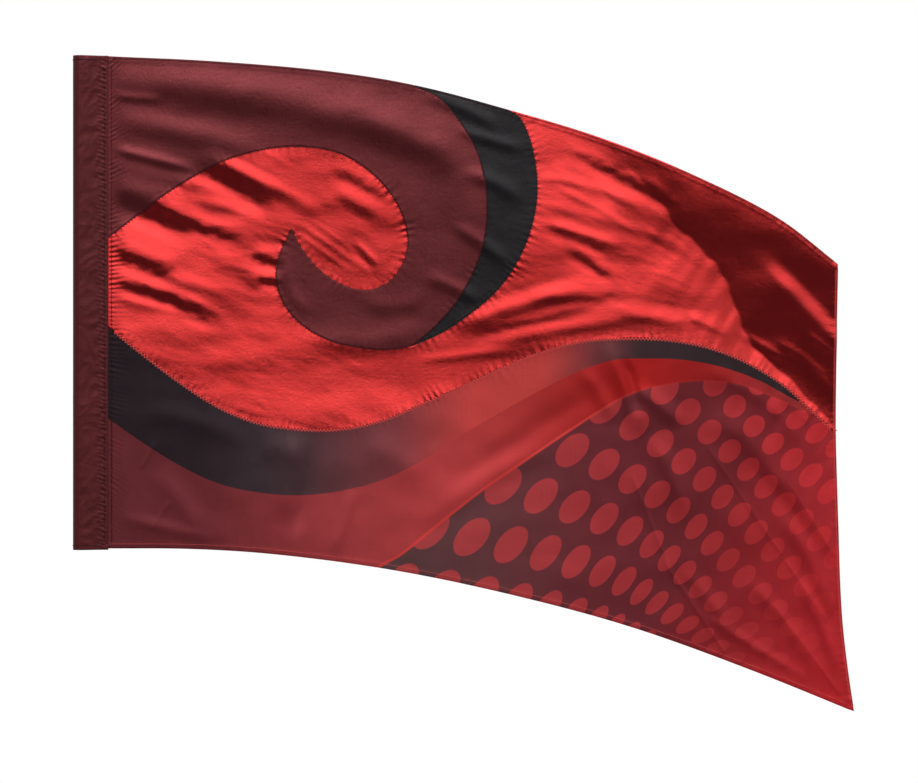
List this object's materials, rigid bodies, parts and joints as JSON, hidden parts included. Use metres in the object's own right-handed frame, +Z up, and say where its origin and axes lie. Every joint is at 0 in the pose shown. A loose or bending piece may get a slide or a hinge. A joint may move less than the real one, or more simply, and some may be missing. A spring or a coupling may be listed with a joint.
{
  "type": "swing flag",
  "caption": "Pieced cloth swing flag with an open pole sleeve down one side and a swept fly, of silk, lame and printed satin panels.",
  "frame": {"origin": "on the pole's axis, at the middle of the sleeve's lower mouth", "axes": "+Z up along the pole sleeve, +X from the pole towards the fly end, -Y out of the front"},
  "size_m": [1.4502, 0.031, 1.2148],
  "materials": {
    "maroon_silk": "soft sheen polyester silk",
    "black_silk": "soft sheen polyester silk",
    "red_lame": "bright crinkled metallic lame",
    "printed_satin": "printed polyester satin",
    "maroon_thread": "spun polyester thread",
    "red_thread": "spun polyester thread",
    "black_thread": "spun polyester thread"
  },
  "bodies": {
    "sleeve": {"pole_sleeve": "maroon_silk", "sleeve_bottom_hem_stitch": "maroon_thread", "sleeve_top_hem_stitch": "maroon_thread", "sleeve_seam_stitch_inner": "maroon_thread"},
    "fly": {"maroon_swirl_panel": "maroon_silk", "black_crescent_panel": "black_silk", "lame_ground_panel": "red_lame", "printed_lower_panel": "printed_satin", "sleeve_seam_stitch_outer": "maroon_thread", "zigzag_swirl_to_lame": "maroon_thread", "zigzag_swirl_to_crescent": "maroon_thread", "zigzag_crescent_to_lame": "black_thread", "zigzag_lame_to_print": "red_thread", "top_hem_stitch": "maroon_thread", "fly_hem_stitch": "red_thread", "bottom_hem_stitch": "red_thread"}
  },
  "joints": [
    {"name": "fly_swing", "type": "hinge", "parent": "sleeve", "child": "fly", "pos_m": [0.053, 0, 0.457], "axis": [0, 0, 1], "range_deg": [-120, 120]}
  ]
}
